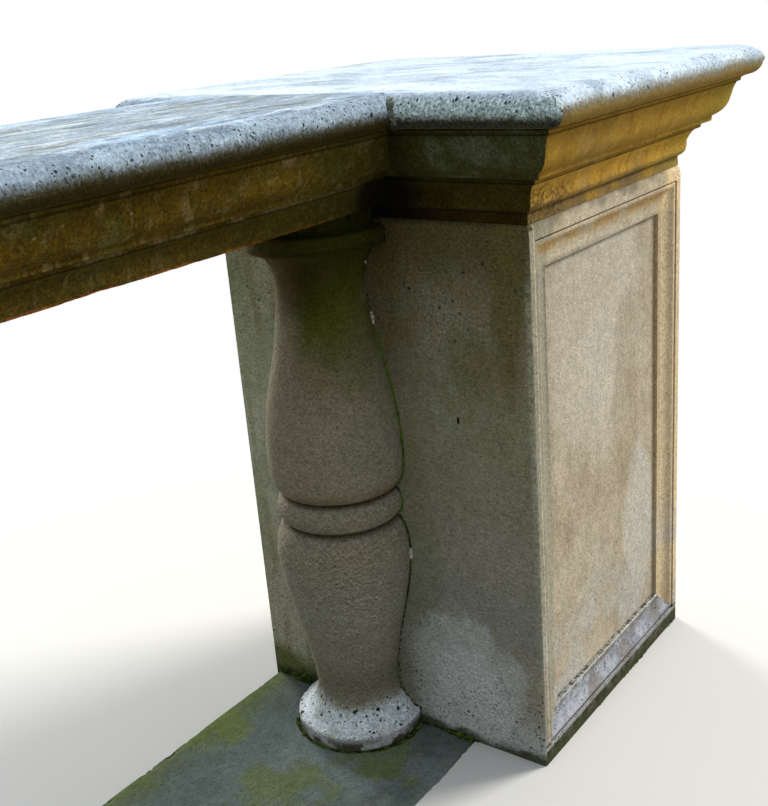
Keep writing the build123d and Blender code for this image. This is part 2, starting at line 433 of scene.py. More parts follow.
def stone_die():
    """Shaft of a pier: warm and clean outside, grey and overgrown towards the rail and darker there as
    painted shade, bleached at the foot.
    """
    s = Stone("pier_die")
    s.bed((0.505, 0.445, 0.335), (0.435, 0.370, 0.265), 1)
    s.tint((0.86, 0.84, 0.80), s.blotch(26.0, 4, 0.46, 0.66, stretch=(1.0, 1.0, 0.10)), 0.6)
    s.paint((0.53, 0.475, 0.37), s.blotch(6.5, 5, 0.50, 0.66, detail=4.0), 0.6)
    s.paint((0.34, 0.25, 0.155), s.blotch(9.0, 6, 0.58, 0.72, detail=5.0), 0.45)
    s.paint((0.57, 0.535, 0.455),
            s.patch((2.73, -0.28, 0.72), (0.16, 0.3, 0.20), 100, ragged=0.4, soft=0.9, scale=14.0), 0.6)
    s.paint((0.55, 0.53, 0.47), s.patch((2.89, -0.28, 0.32), (0.06, 0.3, 0.15), 101), 0.7)
    s.paint((0.33, 0.265, 0.17), s.patch((2.84, -0.28, 0.58), (0.05, 0.3, 0.16), 109), 0.40)
    off = s.minus(s.far_x, PIER_MIDDLE)
    off_either = s.math("ABSOLUTE", off)
    outer = s.rise(off_either, STILE_IN, STILE_OUT - 0.005)
    s.paint((0.56, 0.465, 0.31), outer, 0.65)
    # The stile away from the rail painted paler and warmer as painted light, the stile by the rail darker and
    # bluer as painted shade
    s.paint((0.66, 0.56, 0.40), s.rise(off, STILE_OUT, STILE_OUT + 0.007), s.rise(s.z, 0.10, 0.20), 0.8)
    s.tint((1.10, 1.04, 0.94), outer, s.rise(off, -0.01, 0.01))
    s.tint((0.60, 0.67, 0.74), outer, s.rise(off, 0.01, -0.01))
    s.paint((0.64, 0.58, 0.42), s.near(off, -BEAD, 0.0022), 0.7)
    s.paint((0.30, 0.25, 0.16), s.near(off, 0.005 - BEAD, 0.0022), 0.6)

    # The top of the shaft brightened: painted light against the shade of the cap's overhang
    s.tint((1.16, 1.14, 1.08), s.rise(s.z, CAP_FOOT - 0.075, CAP_FOOT - 0.065))

    # Warm orange on the down-facing faces of the upper moulding of the panels, a stain with painted warm
    # reflected light, and a ragged dark band under the cap, dirt with painted shade
    lip = s.near(s.z, CAP_FOOT - 0.040, 0.024)
    s.paint((0.50, 0.32, 0.12), lip, s.rise(s.nz, -0.05, -0.30), s.blotch(14.0, 7, 0.34, 0.56), 0.9)
    under_cap_level = s.ragged(s.z, 0.045, 16.0, 8)
    s.paint((0.16, 0.14, 0.10), s.rise(under_cap_level, CAP_FOOT + 0.008, CAP_FOOT + 0.026), 0.75)

    # Pale lichen and black dots low on the panels
    low_panel = s.both(s.rise(s.z, 0.42, 0.12), s.blotch(11.0, 9, 0.46, 0.60, detail=5.0))
    s.paint((0.45, 0.45, 0.42), low_panel, 0.8)
    s.dots((0.13, 0.10, 0.075), 102, s.both(s.rise(s.z, 0.40, 0.16), s.blotch(9.0, 103, 0.50, 0.62)),
           share=0.4)

    # Sill of the panels: bleached slope with a pale lip and dotted dark lines above and below it, dirt with
    # painted shade in their crevices
    on_long = s.both(s.rise(s.math("ADD", off_either, s.z), LONG_MITRE + 0.001, LONG_MITRE - 0.001),
                     s.rise(s.far_y, PIER_SIDE - PANEL_BACK - 0.003, PIER_SIDE - PANEL_BACK))
    on_end = s.both(s.rise(s.math("ADD", s.far_y, s.z), END_MITRE + 0.001, END_MITRE - 0.001),
                    s.rise(s.far_x, PIER_END - PANEL_BACK - 0.0035, PIER_END - PANEL_BACK - 0.0005))
    panels = s.either(on_long, on_end)
    below = s.both(panels, s.rise(s.z, SILL_TOP + 0.0008, SILL_TOP))
    slope = s.either(below, s.rise(s.z, SILL_FOOT + 0.0010, SILL_FOOT))
    s.paint((0.25, 0.27, 0.31), slope)
    s.paint((0.36, 0.38, 0.43), slope, s.blotch(38.0, 10, 0.40, 0.54))
    s.paint((0.20, 0.18, 0.155), slope, s.blotch(15.0, 110, 0.52, 0.62, detail=5.0), 0.7)
    s.paint((0.185, 0.175, 0.155), below, s.rise(s.z, SILL_TOP - 0.0125, SILL_TOP - 0.0105),
            s.blotch(40.0, 131, 0.34, 0.54))
    ledge = s.rise(s.nz, 0.5, 0.8)
    s.paint((0.27, 0.255, 0.205), panels, s.near(s.z, SILL_TOP, 0.0012), ledge)
    s.paint((0.62, 0.62, 0.57), below, s.rise(s.z, SILL_TOP - 0.0034, SILL_TOP - 0.0022),
            s.rise(s.nz, 0.6, 0.3), 0.9)
    dirt_and_shade = s.both(panels, s.rise(s.z, SILL_TOP - 0.0004, SILL_TOP - 0.0001),
                  s.rise(s.z, SILL_TOP + 0.0042, SILL_TOP + 0.0012))
    s.paint((0.045, 0.042, 0.034), dirt_and_shade, s.blotch(150.0, 104, 0.46, 0.58), 0.85)
    s.paint((0.36, 0.355, 0.29), s.near(s.z, SILL_FOOT - 0.0030, 0.0034), 0.9)
    s.tint((0.15, 0.12, 0.12), s.near(s.z, SILL_FOOT + 0.0026, 0.0045), s.blotch(60.0, 111, 0.20, 0.34))
    foot = s.rise(s.z, SILL_FOOT - 0.0050, SILL_FOOT - 0.0080)
    s.paint((0.105, 0.098, 0.075), foot)
    s.paint((0.035, 0.040, 0.020), foot, s.blotch(45.0, 112, 0.44, 0.56, detail=4.0))

    # The faces towards the rail: grey growth and stains, painted darker than the outside as painted shade,
    # darkest right under the cap
    inner = s.rise(s.far_x, PIER_FACE + 0.0022, PIER_FACE + 0.0012)
    inner = s.either(inner,
                     s.both(s.rise(s.far_x, PIER_FACE + 0.013, PIER_FACE + 0.011),
                            s.rise(s.z, CAP_FOOT - 0.009, CAP_FOOT - 0.007)))
    s.paint((0.275, 0.250, 0.172), inner)
    s.tint((0.86, 0.85, 0.80), inner, s.blotch(5.0, 12, 0.42, 0.62, detail=4.0))
    s.paint((0.345, 0.340, 0.285), inner, s.rise(s.z, 0.62, 0.34), 0.8)
    speckled = s.both(inner, s.patch((2.5, -0.12, 0.74), (0.3, 0.10, 0.14), 113, ragged=0.9, scale=14.0))
    s.paint((0.255, 0.280, 0.215), speckled, s.blotch(45.0, 114, 0.40, 0.60, stretch=(1.0, 1.0, 0.5)), 0.55)
    edge = s.ragged(s.z, 0.16, 9.0, 14)
    s.paint((0.105, 0.092, 0.030), inner, s.rise(edge, 0.82, 1.00), 0.9)
    olive = s.patch((2.5, -0.247, 0.80), (0.3, 0.024, 0.15), 115, ragged=0.6, soft=0.8)
    s.paint((0.140, 0.132, 0.042), inner, olive, 0.8)
    s.paint((0.170, 0.160, 0.070), inner, s.patch((2.5, -0.185, 0.72), (0.3, 0.045, 0.05), 132, soft=0.8),
            0.6)
    s.tint((0.64, 0.60, 0.48), inner, s.near(s.y, -0.04, 0.09), s.rise(s.z, 0.55, 0.80))
    rim = s.both(inner, s.rise(s.y, -0.274, -0.283), s.blotch(60.0, 116, 0.36, 0.50, detail=4.0))
    s.paint((0.40, 0.40, 0.29), rim, s.rise(s.z, 0.91, 0.80), 0.8)
    # A strip of this face on the garden side of the baluster painted paler, and bluer and brighter above its
    # lowest part: painted light from the garden side
    strip = s.both(inner, s.rise(s.y, 0.14, 0.20))
    s.paint((0.45, 0.435, 0.325), strip)
    s.paint((0.36, 0.365, 0.25), strip, s.blotch(13.0, 13, 0.44, 0.58, detail=5.0, stretch=(1.0, 1.0, 0.5)))
    s.paint((0.30, 0.27, 0.16), strip, s.blotch(60.0, 133, 0.50, 0.64, stretch=(1.0, 1.0, 0.12)), 0.6)
    s.tint((0.76, 0.76, 0.65), strip, s.rise(s.z, 0.66, 0.82))
    s.tint((1.16, 1.23, 1.27), strip, s.rise(s.z, 0.30, 0.46))
    front = s.rise(s.y, 0.10, 0.02)
    s.tint((1.12, 1.18, 1.21), inner, front, s.near(s.z, 0.60, 0.17))
    s.tint((0.84, 0.86, 0.89), inner, front, s.near(s.z, 0.31, 0.15))
    s.paint((0.14, 0.19, 0.055), inner, s.patch((2.5, LINE - 0.12, 0.33), (0.2, 0.04, 0.26), 105), 0.25)
    bleach = s.either(s.patch((2.5, -0.13, 0.12), (0.3, 0.12, 0.15), 106), s.rise(s.z, 0.15, 0.10))
    s.paint((0.47, 0.50, 0.49), inner, bleach, s.rise(s.y, -0.02, -0.06), 0.95)
    s.paint((0.58, 0.62, 0.62), inner, s.patch((2.5, -0.15, 0.13), (0.3, 0.07, 0.11), 107), 0.8)
    s.paint((0.150, 0.170, 0.060), inner,
            s.patch((2.5, LINE + 0.20, 0.06), (0.2, 0.13, 0.055), 108, soft=0.6))
    s.paint((0.14, 0.155, 0.055), inner, s.near(s.y, LINE, 0.17), s.rise(s.z, 0.24, 0.09), 0.8)
    s.speckle(360.0, 117, (0.62, 0.64, 0.62), (1.38, 1.38, 1.34), inner, 0.30)
    s.speckle(200.0, 134, (0.50, 0.52, 0.50), (1.50, 1.52, 1.45), s.both(inner, s.rise(s.z, 0.62, 0.80)), 0.5)
    mark = s.both(inner, s.near(s.y, -0.156, 0.0032), s.near(s.z, 0.630, 0.0085))
    s.paint((0.012, 0.012, 0.008), s.rise(mark, 0.10, 0.35))

    # Dots of lichen, thick near the ground, and the damp foot
    rail_foot = s.both(inner, s.rise(s.z, 0.27, 0.12))
    s.dots((0.030, 0.033, 0.027), 17, s.both(s.either(slope, rail_foot), s.blotch(24.0, 18, 0.36, 0.50)),
           240.0, 0.75)
    s.dots((0.055, 0.055, 0.045), 19, s.both(s.rise(s.z, 0.60, 0.20), s.blotch(8.0, 20, 0.52, 0.62)),
           share=0.18)
    s.dots((0.040, 0.042, 0.034), 118,
           s.both(inner, s.rise(s.z, 0.62, 0.80), s.blotch(10.0, 119, 0.46, 0.58)), share=0.3)
    damp = s.ragged(s.z, -0.05, 24.0, 21)
    s.paint((0.050, 0.056, 0.024), s.rise(damp, TERRACE - 0.002, TERRACE - 0.020), 0.9)
    s.relief(170.0, 144, 0.0008, 0.9, inner, (0.8, 0.8, 1.2))
    s.grain(0.0009, 22, contrast=0.85)
    return s.finish()


def top_weather_and_sky_light(s, seed, stretch, bands, where=1.0, rough=0.7, streaky=0.2):
    """Bleached top of rail and cap with painted sky light: colours by height on the rounded nose, pale blue
    where it turns up and darker where it turns down, with granular edges.
    """
    grainy = s.math("MULTIPLY", s.minus(s.noise(210.0, seed, rough=0.75), 0.5), 0.016)
    broad = s.math("MULTIPLY", s.minus(s.noise(15.0, seed + 1), 0.5), 0.018)
    level = s.math("ADD", s.z, s.math("ADD", grainy, broad))
    on_nose = s.rise(s.z, NOSE_FOOT + 0.0005, NOSE_FOOT + 0.0025)
    # Bands by height on the nose, over the bleached stone: pale blue above as painted sky light, darker below
    # as painted shade
    for below, above, colour in bands:
        s.paint(colour, s.rise(level, TOP - below, TOP - above), on_nose, where)
    below, above, _ = bands[-1]
    top = s.both(s.rise(level, TOP - below, TOP - above), where)
    streaks = s.blotch(7.0, seed + 2, 0.40, 0.64, detail=5.0, stretch=stretch)
    s.tint((1.34, 1.33, 1.32), top, streaks)
    s.tint((0.60, 0.63, 0.66), top, s.blotch(20.0, seed + 3, 0.50, 0.64, detail=5.0, stretch=stretch), 0.8)
    s.tint((1.35, 1.34, 1.33), top, s.blotch(34.0, seed + 4, 0.58, 0.68, stretch=stretch), 0.8)
    s.paint((0.34, 0.33, 0.20), top, s.blotch(9.0, seed + 5, 0.60, 0.74, detail=5.0), 0.25)
    flat = s.both(top, s.rise(s.nz, 0.90, 0.99), streaky)
    s.paint((0.27, 0.29, 0.22), flat, s.blotch(26.0, seed + 15, 0.52, 0.60, detail=5.0, stretch=stretch), 0.7)
    s.paint((0.56, 0.62, 0.66), flat, s.blotch(36.0, seed + 18, 0.55, 0.63, detail=4.0, stretch=stretch))
    s.tint((0.30, 0.32, 0.32), flat, s.blotch(52.0, seed + 16, 0.54, 0.62, detail=4.0, stretch=stretch))
    nose = s.both(on_nose, s.rise(s.z, TOP + 0.002, TOP - 0.012), where)
    brink = s.both(s.rise(s.z, TOP - 0.034, TOP - 0.022), s.rise(s.z, TOP + 0.002, TOP - 0.004), where)
    s.speckle(230.0, seed + 13, (0.34, 0.38, 0.37), (1.85, 1.90, 1.85), nose, rough)
    seam = s.near(s.far_x, RAIL_END, 0.0032)
    s.tint((0.22, 0.23, 0.20), seam, s.near(s.y, LINE, 0.20), s.rise(s.z, TOP - 0.004, TOP - 0.002),
           s.blotch(60.0, seed + 17, 0.30, 0.42))
    s.dots((0.026, 0.030, 0.026), seed + 6, s.both(brink, s.blotch(20.0, seed + 7, 0.30, 0.44)), 170.0,
           0.5 + 0.5 * rough)
    if rough > 0.8:
        s.dots((0.48, 0.52, 0.50), seed + 9, s.both(brink, s.blotch(20.0, seed + 8, 0.48, 0.60)), 260.0, 0.35)
    s.dots((0.050, 0.056, 0.052), seed + 12, s.both(top, s.blotch(9.0, seed + 11, 0.50, 0.62)), share=0.22)


def stone_cap():
    """Cap: golden mouldings outside, blackened towards the rail with painted shade, bleached nose and top
    with painted sky light.
    """
    s = Stone("pier_cap")
    s.bed((0.56, 0.335, 0.055), (0.47, 0.270, 0.036), 3)
    s.paint((0.31, 0.22, 0.065), s.blotch(8.0, 24, 0.50, 0.68, detail=5.0), 0.4)
    s.paint((0.60, 0.42, 0.14), s.blotch(15.0, 25, 0.56, 0.70, detail=5.0), 0.3)
    s.tint((0.74, 0.70, 0.58), s.blotch(70.0, 140, 0.50, 0.64, detail=4.0, stretch=(1.0, 1.0, 0.16)), 0.6)
    # The cove under the corona brightened: painted light against the corona's shade
    s.tint((1.48, 1.44, 1.42), s.rise(s.z, CAP_FOOT + 0.062, CAP_FOOT + 0.056),
           s.rise(s.z, CAP_FOOT + 0.022, CAP_FOOT + 0.030))
    foot = s.rise(s.ragged(s.z, -0.06, 14.0, 28), CAP_FOOT + 0.010, CAP_FOOT - 0.020)
    s.paint((0.17, 0.125, 0.065), foot, s.blotch(12.0, 26, 0.36, 0.56, detail=5.0), 0.75)
    stain = s.patch((2.505, -0.30, CAP_FOOT + 0.014), (0.09, 0.1, 0.036), 29, ragged=1.0, scale=18.0)
    s.paint((0.075, 0.048, 0.016), stain, s.blotch(150.0, 141, 0.42, 0.56, detail=4.0), 0.7)
    s.paint((0.42, 0.33, 0.04), s.rise(s.far_x, 2.80, 3.08), 0.5)
    # The side towards the rail painted near black: dark growth with painted shade
    inner = s.inner_side()
    s.paint((0.053, 0.055, 0.014), inner)
    s.paint((0.115, 0.132, 0.078), inner, s.blotch(12.0, 27, 0.46, 0.62, detail=5.0), 0.8)
    lower = s.rise(s.z, LOWER_TOP, LOWER_TOP - 0.004)
    s.paint((0.040, 0.030, 0.002), inner, lower)
    s.paint((0.054, 0.048, 0.007), inner, s.blotch(9.0, 120, 0.46, 0.60), lower)
    # Painted shade, deepest low down, in the corner where the rail meets the cap
    near_rail = s.ragged(s.y, 0.06, 14.0, 121)
    s.tint((0.40, 0.34, 0.20), inner, s.rise(near_rail, -0.150, -0.080))
    s.tint((0.12, 0.10, 0.05), inner, s.rise(near_rail, -0.100, -0.050), lower)
    s.tint((0.75, 0.50, 0.35), inner, s.rise(s.z, CAP_FOOT + 0.024, CAP_FOOT + 0.014))
    s.speckle(240.0, 122, (0.50, 0.52, 0.50), (1.7, 1.7, 1.65),
              s.both(inner, s.rise(s.z, NOSE_FOOT + 0.001, NOSE_FOOT)), 0.8)
    blue = (0.45, 0.545, 0.655)
    gold = (0.33, 0.215, 0.050)
    top_weather_and_sky_light(s, 31, (1.0, 0.55, 1.0),
                ((0.052, 0.049, gold), (0.036, 0.022, (0.24, 0.225, 0.16)), (0.026, 0.010, blue)), 1.0, 0.25)
    inner = s.inner_side(0.010)
    grey = (0.52, 0.65, 0.66)
    top_weather_and_sky_light(s, 131, (1.0, 0.55, 1.0),
                ((0.052, 0.049, (0.045, 0.050, 0.030)), (0.038, 0.024, grey), (0.016, 0.004, blue)), inner,
                0.9)
    # Dark lines at the arrises of the mouldings: dirt with painted shade
    for level in (*DIRT_AND_SHADE_LINES, CAP_FOOT_LINE):
        s.tint((0.26, 0.23, 0.18), s.near(s.z, CAP_FOOT + level, 0.0030), 0.9)
    s.grain(0.0009, 45, contrast=0.7)
    return s.finish()


def stone_rail():
    """Rail: bleached top streaked along its length with painted sky light, dark sides with pale runs darkened
    further by painted shade, rusty lower edge.
    """
    s = Stone("handrail")
    # Dark stained body of the rail, darker still as painted shade
    s.bed((0.134, 0.086, 0.006), (0.083, 0.053, 0.003), 5)
    runs = s.blotch(70.0, 44, 0.51, 0.64, stretch=(1.0, 1.0, 0.14))
    s.paint((0.24, 0.175, 0.070), runs, s.blotch(6.0, 45, 0.42, 0.58), 0.7)
    s.paint((0.24, 0.18, 0.080), s.near(s.z, NOSE_FOOT - 0.012, 0.016),
            s.blotch(34.0, 135, 0.55, 0.62, stretch=(1.0, 1.0, 0.4)), 0.75)
    s.paint((0.105, 0.100, 0.022), s.blotch(10.0, 46, 0.50, 0.66, detail=5.0), 0.5)
    s.paint((0.055, 0.042, 0.006), s.rise(s.z, RAIL_FOOT + 0.045, RAIL_FOOT + 0.035), 0.6)
    s.paint((0.25, 0.19, 0.085), s.near(s.z, RAIL_FOOT + 0.041, 0.006),
            s.blotch(22.0, 123, 0.46, 0.56, detail=5.0), 0.8)
    s.paint((0.28, 0.095, 0.018), s.rise(s.z, RAIL_FOOT + 0.005, RAIL_FOOT), s.blotch(18.0, 47, 0.42, 0.56))
    s.dots((0.19, 0.145, 0.065), 48, s.blotch(13.0, 49, 0.50, 0.62), scale=120.0, share=0.22)
    # Painted shade of the pier on the rail near it, deepest low in the corner where the rail meets the cap
    reach = s.ragged(s.far_x, 0.06, 14.0, 124)
    s.paint((0.045, 0.050, 0.006), s.near(s.far_x, PIER_FACE, 0.34), 0.7)
    s.tint((0.34, 0.30, 0.17), s.rise(reach, PIER_FACE - 0.09, PIER_FACE + 0.02))
    s.tint((0.15, 0.13, 0.07), s.rise(reach, PIER_FACE - 0.065, PIER_FACE - 0.025),
           s.rise(s.z, LOWER_TOP, LOWER_TOP - 0.006))
    side = s.rise(s.z, NOSE_FOOT + 0.001, NOSE_FOOT)
    s.speckle(260.0, 125, (0.55, 0.55, 0.50), (1.6, 1.55, 1.4), side, 0.7)
    top_weather_and_sky_light(s, 50, (0.34, 1.1, 1.0),
                ((0.052, 0.049, (0.030, 0.021, 0.001)), (0.039, 0.022, (0.067, 0.067, 0.042)),
                 (0.031, 0.014, (0.232, 0.302, 0.375))), 1.0, 0.34, 0.60)
    # Bluer and brighter along the rounded top edges of the nose: painted sky light
    strip = s.both(s.near(s.math("ABSOLUTE", s.minus(s.y, LINE)), 0.165, 0.045),
                   s.rise(s.z, TOP - 0.012, TOP - 0.003))
    s.tint((1.22, 1.33, 1.50), strip, s.blotch(9.0, 151, 0.36, 0.56, detail=4.0, stretch=(0.4, 1.0, 1.0)))
    s.relief(80.0, 148, 0.0014, 2.2, side, (1.0, 1.0, 0.7))
    # Dark lines at the arrises of the mouldings: dirt with painted shade
    for level in DIRT_AND_SHADE_LINES:
        s.tint((0.28, 0.25, 0.20), s.near(s.z, CAP_FOOT + level, 0.0030), 0.9)
    s.grain(0.0010, 65, contrast=1.2)
    return s.finish()


def stone_baluster():
    """Turned balusters: grey-beige and pitted, green near the rail, pale lichen on the base disc."""
    s = Stone("baluster")
    s.paint((0.285, 0.262, 0.195))
    s.paint((0.325, 0.270, 0.200), s.blotch(4.0, 70, 0.44, 0.66), 0.5)
    s.paint((0.225, 0.215, 0.170), s.blotch(9.0, 71, 0.50, 0.68, detail=4.0), 0.4)
    s.paint((0.33, 0.33, 0.27), s.near(s.z, 0.31, 0.12), 0.6)
    s.paint((0.190, 0.176, 0.120), s.near(s.z, 0.165, 0.05), 0.7)
    high = s.ragged(s.z, 0.20, 6.0, 72)
    front = s.rise(s.ny, 0.35, -0.55)
    s.paint((0.30, 0.275, 0.180), s.rise(high, 0.62, 0.80), s.rise(s.ny, -0.10, 0.60), 0.6)
    s.paint((0.125, 0.112, 0.020), s.rise(high, 0.70, 0.96), front, 0.85)
    s.paint((0.080, 0.096, 0.004), s.rise(high, 0.76, 0.92), front, s.blotch(7.0, 126, 0.42, 0.54), 0.85)
    s.tint((0.28, 0.22, 0.09), s.rise(high, 0.88, 1.00))
    capital = s.rise(s.z, RAIL_FOOT - 0.052, RAIL_FOOT - 0.046)
    s.paint((0.036, 0.040, 0.003), capital, s.blotch(12.0, 127, 0.34, 0.50))
    # Pale pink-brown on the garden side of the top disc: painted rim highlight
    s.paint((0.44, 0.32, 0.19), capital, s.rise(s.ny, 0.25, 0.6), s.blotch(30.0, 147, 0.30, 0.46), 0.8)
    low = s.ragged(s.z, -0.06, 26.0, 73)
    s.paint((0.64, 0.74, 0.76), s.rise(low, TERRACE + 0.052, TERRACE - 0.002), 0.92)
    s.paint((0.76, 0.86, 0.94), s.rise(s.nz, 0.35, 0.8), s.rise(s.z, 0.14, 0.12),
            s.blotch(34.0, 74, 0.30, 0.44))
    s.paint((0.62, 0.66, 0.68), s.near(s.z, TERRACE + 0.0285, 0.0030), s.blotch(60.0, 136, 0.30, 0.46), 0.8)
    s.paint((0.52, 0.50, 0.54), s.rise(s.z, TERRACE + 0.0255, TERRACE + 0.0225))
    s.paint((0.42, 0.42, 0.40), s.rise(s.z, TERRACE + 0.026, TERRACE + 0.010),
            s.blotch(30.0, 128, 0.54, 0.64), 0.7)
    s.paint((0.085, 0.078, 0.062), s.rise(s.z, TERRACE + 0.026, TERRACE + 0.012),
            s.blotch(26.0, 75, 0.39, 0.50, detail=4.0))
    s.paint((0.22, 0.27, 0.12), s.rise(s.z, TERRACE + 0.10, TERRACE + 0.02), s.blotch(18.0, 76, 0.52, 0.64),
            0.4)
    scatter = s.blotch(24.0, 129, 0.26, 0.40)
    s.dots((0.026, 0.032, 0.026), 77,
           s.both(s.rise(low, TERRACE + 0.11, TERRACE + 0.03), s.rise(s.nz, -0.1, 0.3), scatter), 135.0, 0.95)
    s.paint((0.20, 0.145, 0.065), s.near(s.z, TERRACE + 0.452, 0.014), s.blotch(12.0, 146, 0.34, 0.54), 0.6)
    # Dark lines in the grooves: black-green growth with painted shade
    for level in GROOVES:
        s.tint((0.18, 0.16, 0.08), s.near(s.z, TERRACE + level, 0.0085), 0.9)
    s.speckle(330.0, 130, (0.55, 0.55, 0.50), (1.48, 1.46, 1.40), 1.0, 0.38)
    s.tint((0.60, 0.59, 0.55), s.blotch(210.0, 137, 0.56, 0.64, detail=2.0, stretch=(1.0, 1.0, 1.8)), 0.5)
    s.relief(150.0, 143, 0.0022, 2.5, s.both(s.near(s.z, 0.36, 0.26), s.blotch(7.0, 142, 0.34, 0.52)),
             (1.25, 1.25, 1.0))
    s.relief(190.0, 145, 0.0010, 1.2, 1.0, (1.2, 1.2, 1.0))
    s.grain(0.0018, 80, contrast=0.8)
    return s.finish()


def stone_base():
    """Base course: blue-grey flags with moss round the balusters and along the edges."""
    s = Stone("base_course")
    s.bed((0.121, 0.156, 0.147), (0.092, 0.122, 0.114), 9)
    s.paint((0.18, 0.22, 0.215), s.blotch(7.0, 84, 0.48, 0.66, detail=5.0), 0.7)
    far = s.math("ABSOLUTE", s.minus(s.y, LINE))
    creep = s.ragged(far, 0.16, 10.0, 85, detail=5.0)
    s.paint((0.10, 0.14, 0.025), s.rise(creep, 0.20, 0.32), s.rise(s.y, LINE - 0.05, LINE + 0.10), 0.85)
    s.paint((0.11, 0.15, 0.030), s.blotch(9.0, 86, 0.52, 0.64, detail=5.0), 0.7)
    side = s.rise(s.nz, 0.6, 0.2)
    s.paint((0.070, 0.080, 0.022), side, 0.9)
    s.paint((0.13, 0.15, 0.03), side, s.blotch(24.0, 87, 0.46, 0.60))
    s.dots((0.07, 0.08, 0.07), 88, s.blotch(9.0, 89, 0.44, 0.60), share=0.3)
    s.grain(0.0009, 92)
    return s.finish()


def moss():
    """Moss and algae in the joints: nearly black in the shade, bright green where it is thick."""
    s = Stone("moss")
    s.paint((0.022, 0.030, 0.008))
    s.paint((0.080, 0.130, 0.012), s.blotch(60.0, 201, 0.44, 0.60, detail=4.0))
    bright = s.both(s.rise(s.z, 0.42, 0.50), s.rise(s.z, 0.80, 0.76))
    s.paint((0.090, 0.170, 0.010), bright, s.blotch(34.0, 202, 0.34, 0.50))
    s.tint((0.22, 0.24, 0.20), s.rise(s.z, 0.78, 0.84))
    s.paint((0.170, 0.180, 0.080), s.blotch(160.0, 203, 0.60, 0.70), 0.7)
    s.raise_by(s.noise(700.0, 204, detail=4.0, rough=0.7), 0.0012)
    return s.finish(0.95, 1.0)


def mortar():
    """Crumbled mortar and lichen crust, pale above and blackened lower down."""
    s = Stone("mortar")
    s.paint((0.56, 0.62, 0.54))
    s.paint((0.20, 0.21, 0.16), s.blotch(90.0, 211, 0.42, 0.58))
    s.paint((0.55, 0.56, 0.50), s.blotch(120.0, 212, 0.56, 0.66))
    s.paint((0.050, 0.052, 0.034), s.rise(s.z, TOP - 0.028, TOP - 0.045), s.rise(s.z, 0.5, 0.7))
    s.paint((0.060, 0.070, 0.035), s.rise(s.z, 0.5, 0.3), s.blotch(70.0, 213, 0.40, 0.54), 0.9)
    s.raise_by(s.noise(500.0, 214, detail=4.0, rough=0.7), 0.0010)
    return s.finish(0.9, 1.0)


def lime():
    """Pale runs of lime washed out of the joints."""
    s = Stone("lime")
    s.paint((0.62, 0.60, 0.52))
    s.paint((0.40, 0.36, 0.26), s.blotch(140.0, 221, 0.46, 0.60))
    s.raise_by(s.noise(600.0, 222), 0.0006)
    return s.finish(0.7, 0.9)


def stone_mesh(name):
    """A stone's own mesh, its vertices joined, to work on."""
    bm = bmesh.new()
    bm.from_mesh(NODES[name].data)
    bmesh.ops.remove_doubles(bm, verts=bm.verts, dist=1e-6)
    return bm


def arrises(bm, wanted):
    """Places along the sharp outward edges that wanted(middle, run) picks."""
    places = []
    for edge in bm.edges:
        if not edge.is_manifold or not edge.is_convex or edge.calc_face_angle() < SHARP:
            continue
        a, b = (v.co for v in edge.verts)
        if wanted((a + b) / 2, (b - a).normalized()):
            count = int((b - a).length / ARRIS_STEP) + 1
            places += [a.lerp(b, i / count) for i in range(count + 1)]
    return places


def tree_of(places):
    tree = kdtree.KDTree(len(places))
    for i, place in enumerate(places):
        tree.insert(place, i)
    tree.balance()
    return tree


def refine(bm, tree, reach, fine):
    """Cuts edges until they are fine within reach of the tree's places, and coarser further away."""
    for _ in range(ROUNDS):
        long = []
        for edge in bm.edges:
            length = edge.calc_length()
            if length > fine:
                a, b = (v.co for v in edge.verts)
                if length > fine + GRADE * max(0.0, tree.find((a + b) / 2)[2] - reach):
                    long.append(edge)
        if not long:
            break
        bmesh.ops.subdivide_edges(bm, edges=long, cuts=1, use_single_edge=True)
        bmesh.ops.triangulate(bm, faces=[f for f in bm.faces if len(f.verts) > 3])


def wear(bm, tree, reach, depth, chips, seed):
    """Rounds the picked edges off by depth and knocks chips out of them, always inwards."""
    bm.normal_update()
    moves = []
    for vert in bm.verts:
        gap = tree.find(vert.co)[2]
        if gap < reach:
            near = 1.0 - gap / reach
            rough = noise.noise(vert.co * CHIP + Vector((seed, 0, 0))) + 0.5 * noise.noise(vert.co * CRUMB)
            slow = noise.noise(vert.co * SWELL + Vector((0, seed, 0)))
            bite = max(0.0, rough + slow - UNBROKEN)
            sink = depth * near * near * (1.0 + 0.5 * slow) + chips * near * bite
            moves.append((vert, -vert.normal * sink))
    for vert, move in moves:
        if vert.co.z > NOSE_FOOT:
            move.z = min(move.z, 0.0)
        vert.co += move


def kind_of(name):
    """Key of a stone's material: the start of its name."""
    return next(kind for kind in STONES if name.startswith(kind))


def weather(name, groups, seed):
    """Finer copy of a stone for its node; a group is which edges, then reach, depth and chips of wear."""
    bm = stone_mesh(name)
    trees = [(tree_of(arrises(bm, wanted)), *sizes) for wanted, *sizes in groups]
    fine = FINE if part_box(name)[1].x > PIER_FACE - 0.05 else PLAIN
    for tree, reach, _, _ in trees:
        refine(bm, tree, reach, fine)
    for tree, reach, depth, chips in trees:
        wear(bm, tree, reach, depth, chips, seed)
    mesh = bpy.data.meshes.new(name + "_worn")
    bm.to_mesh(mesh)
    bm.free()
    mesh.shade_smooth()
    mesh.set_sharp_from_angle(angle=STILL_SHARP)
    piece = put(name + "_worn", mesh)
    even = piece.modifiers.new("even", "WEIGHTED_NORMAL")
    even.keep_sharp = True
    even.weight = 80
    mesh.materials.append(STONES[kind_of(name)])
    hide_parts(name)
    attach(piece, "root")


def mitre(middle, run):
    """Edges where the mouldings of a cap turn its corners."""
    return min(abs(run.x), abs(run.y)) > 0.25 * abs(run.z) and middle.z > CAP_FOOT + 0.01


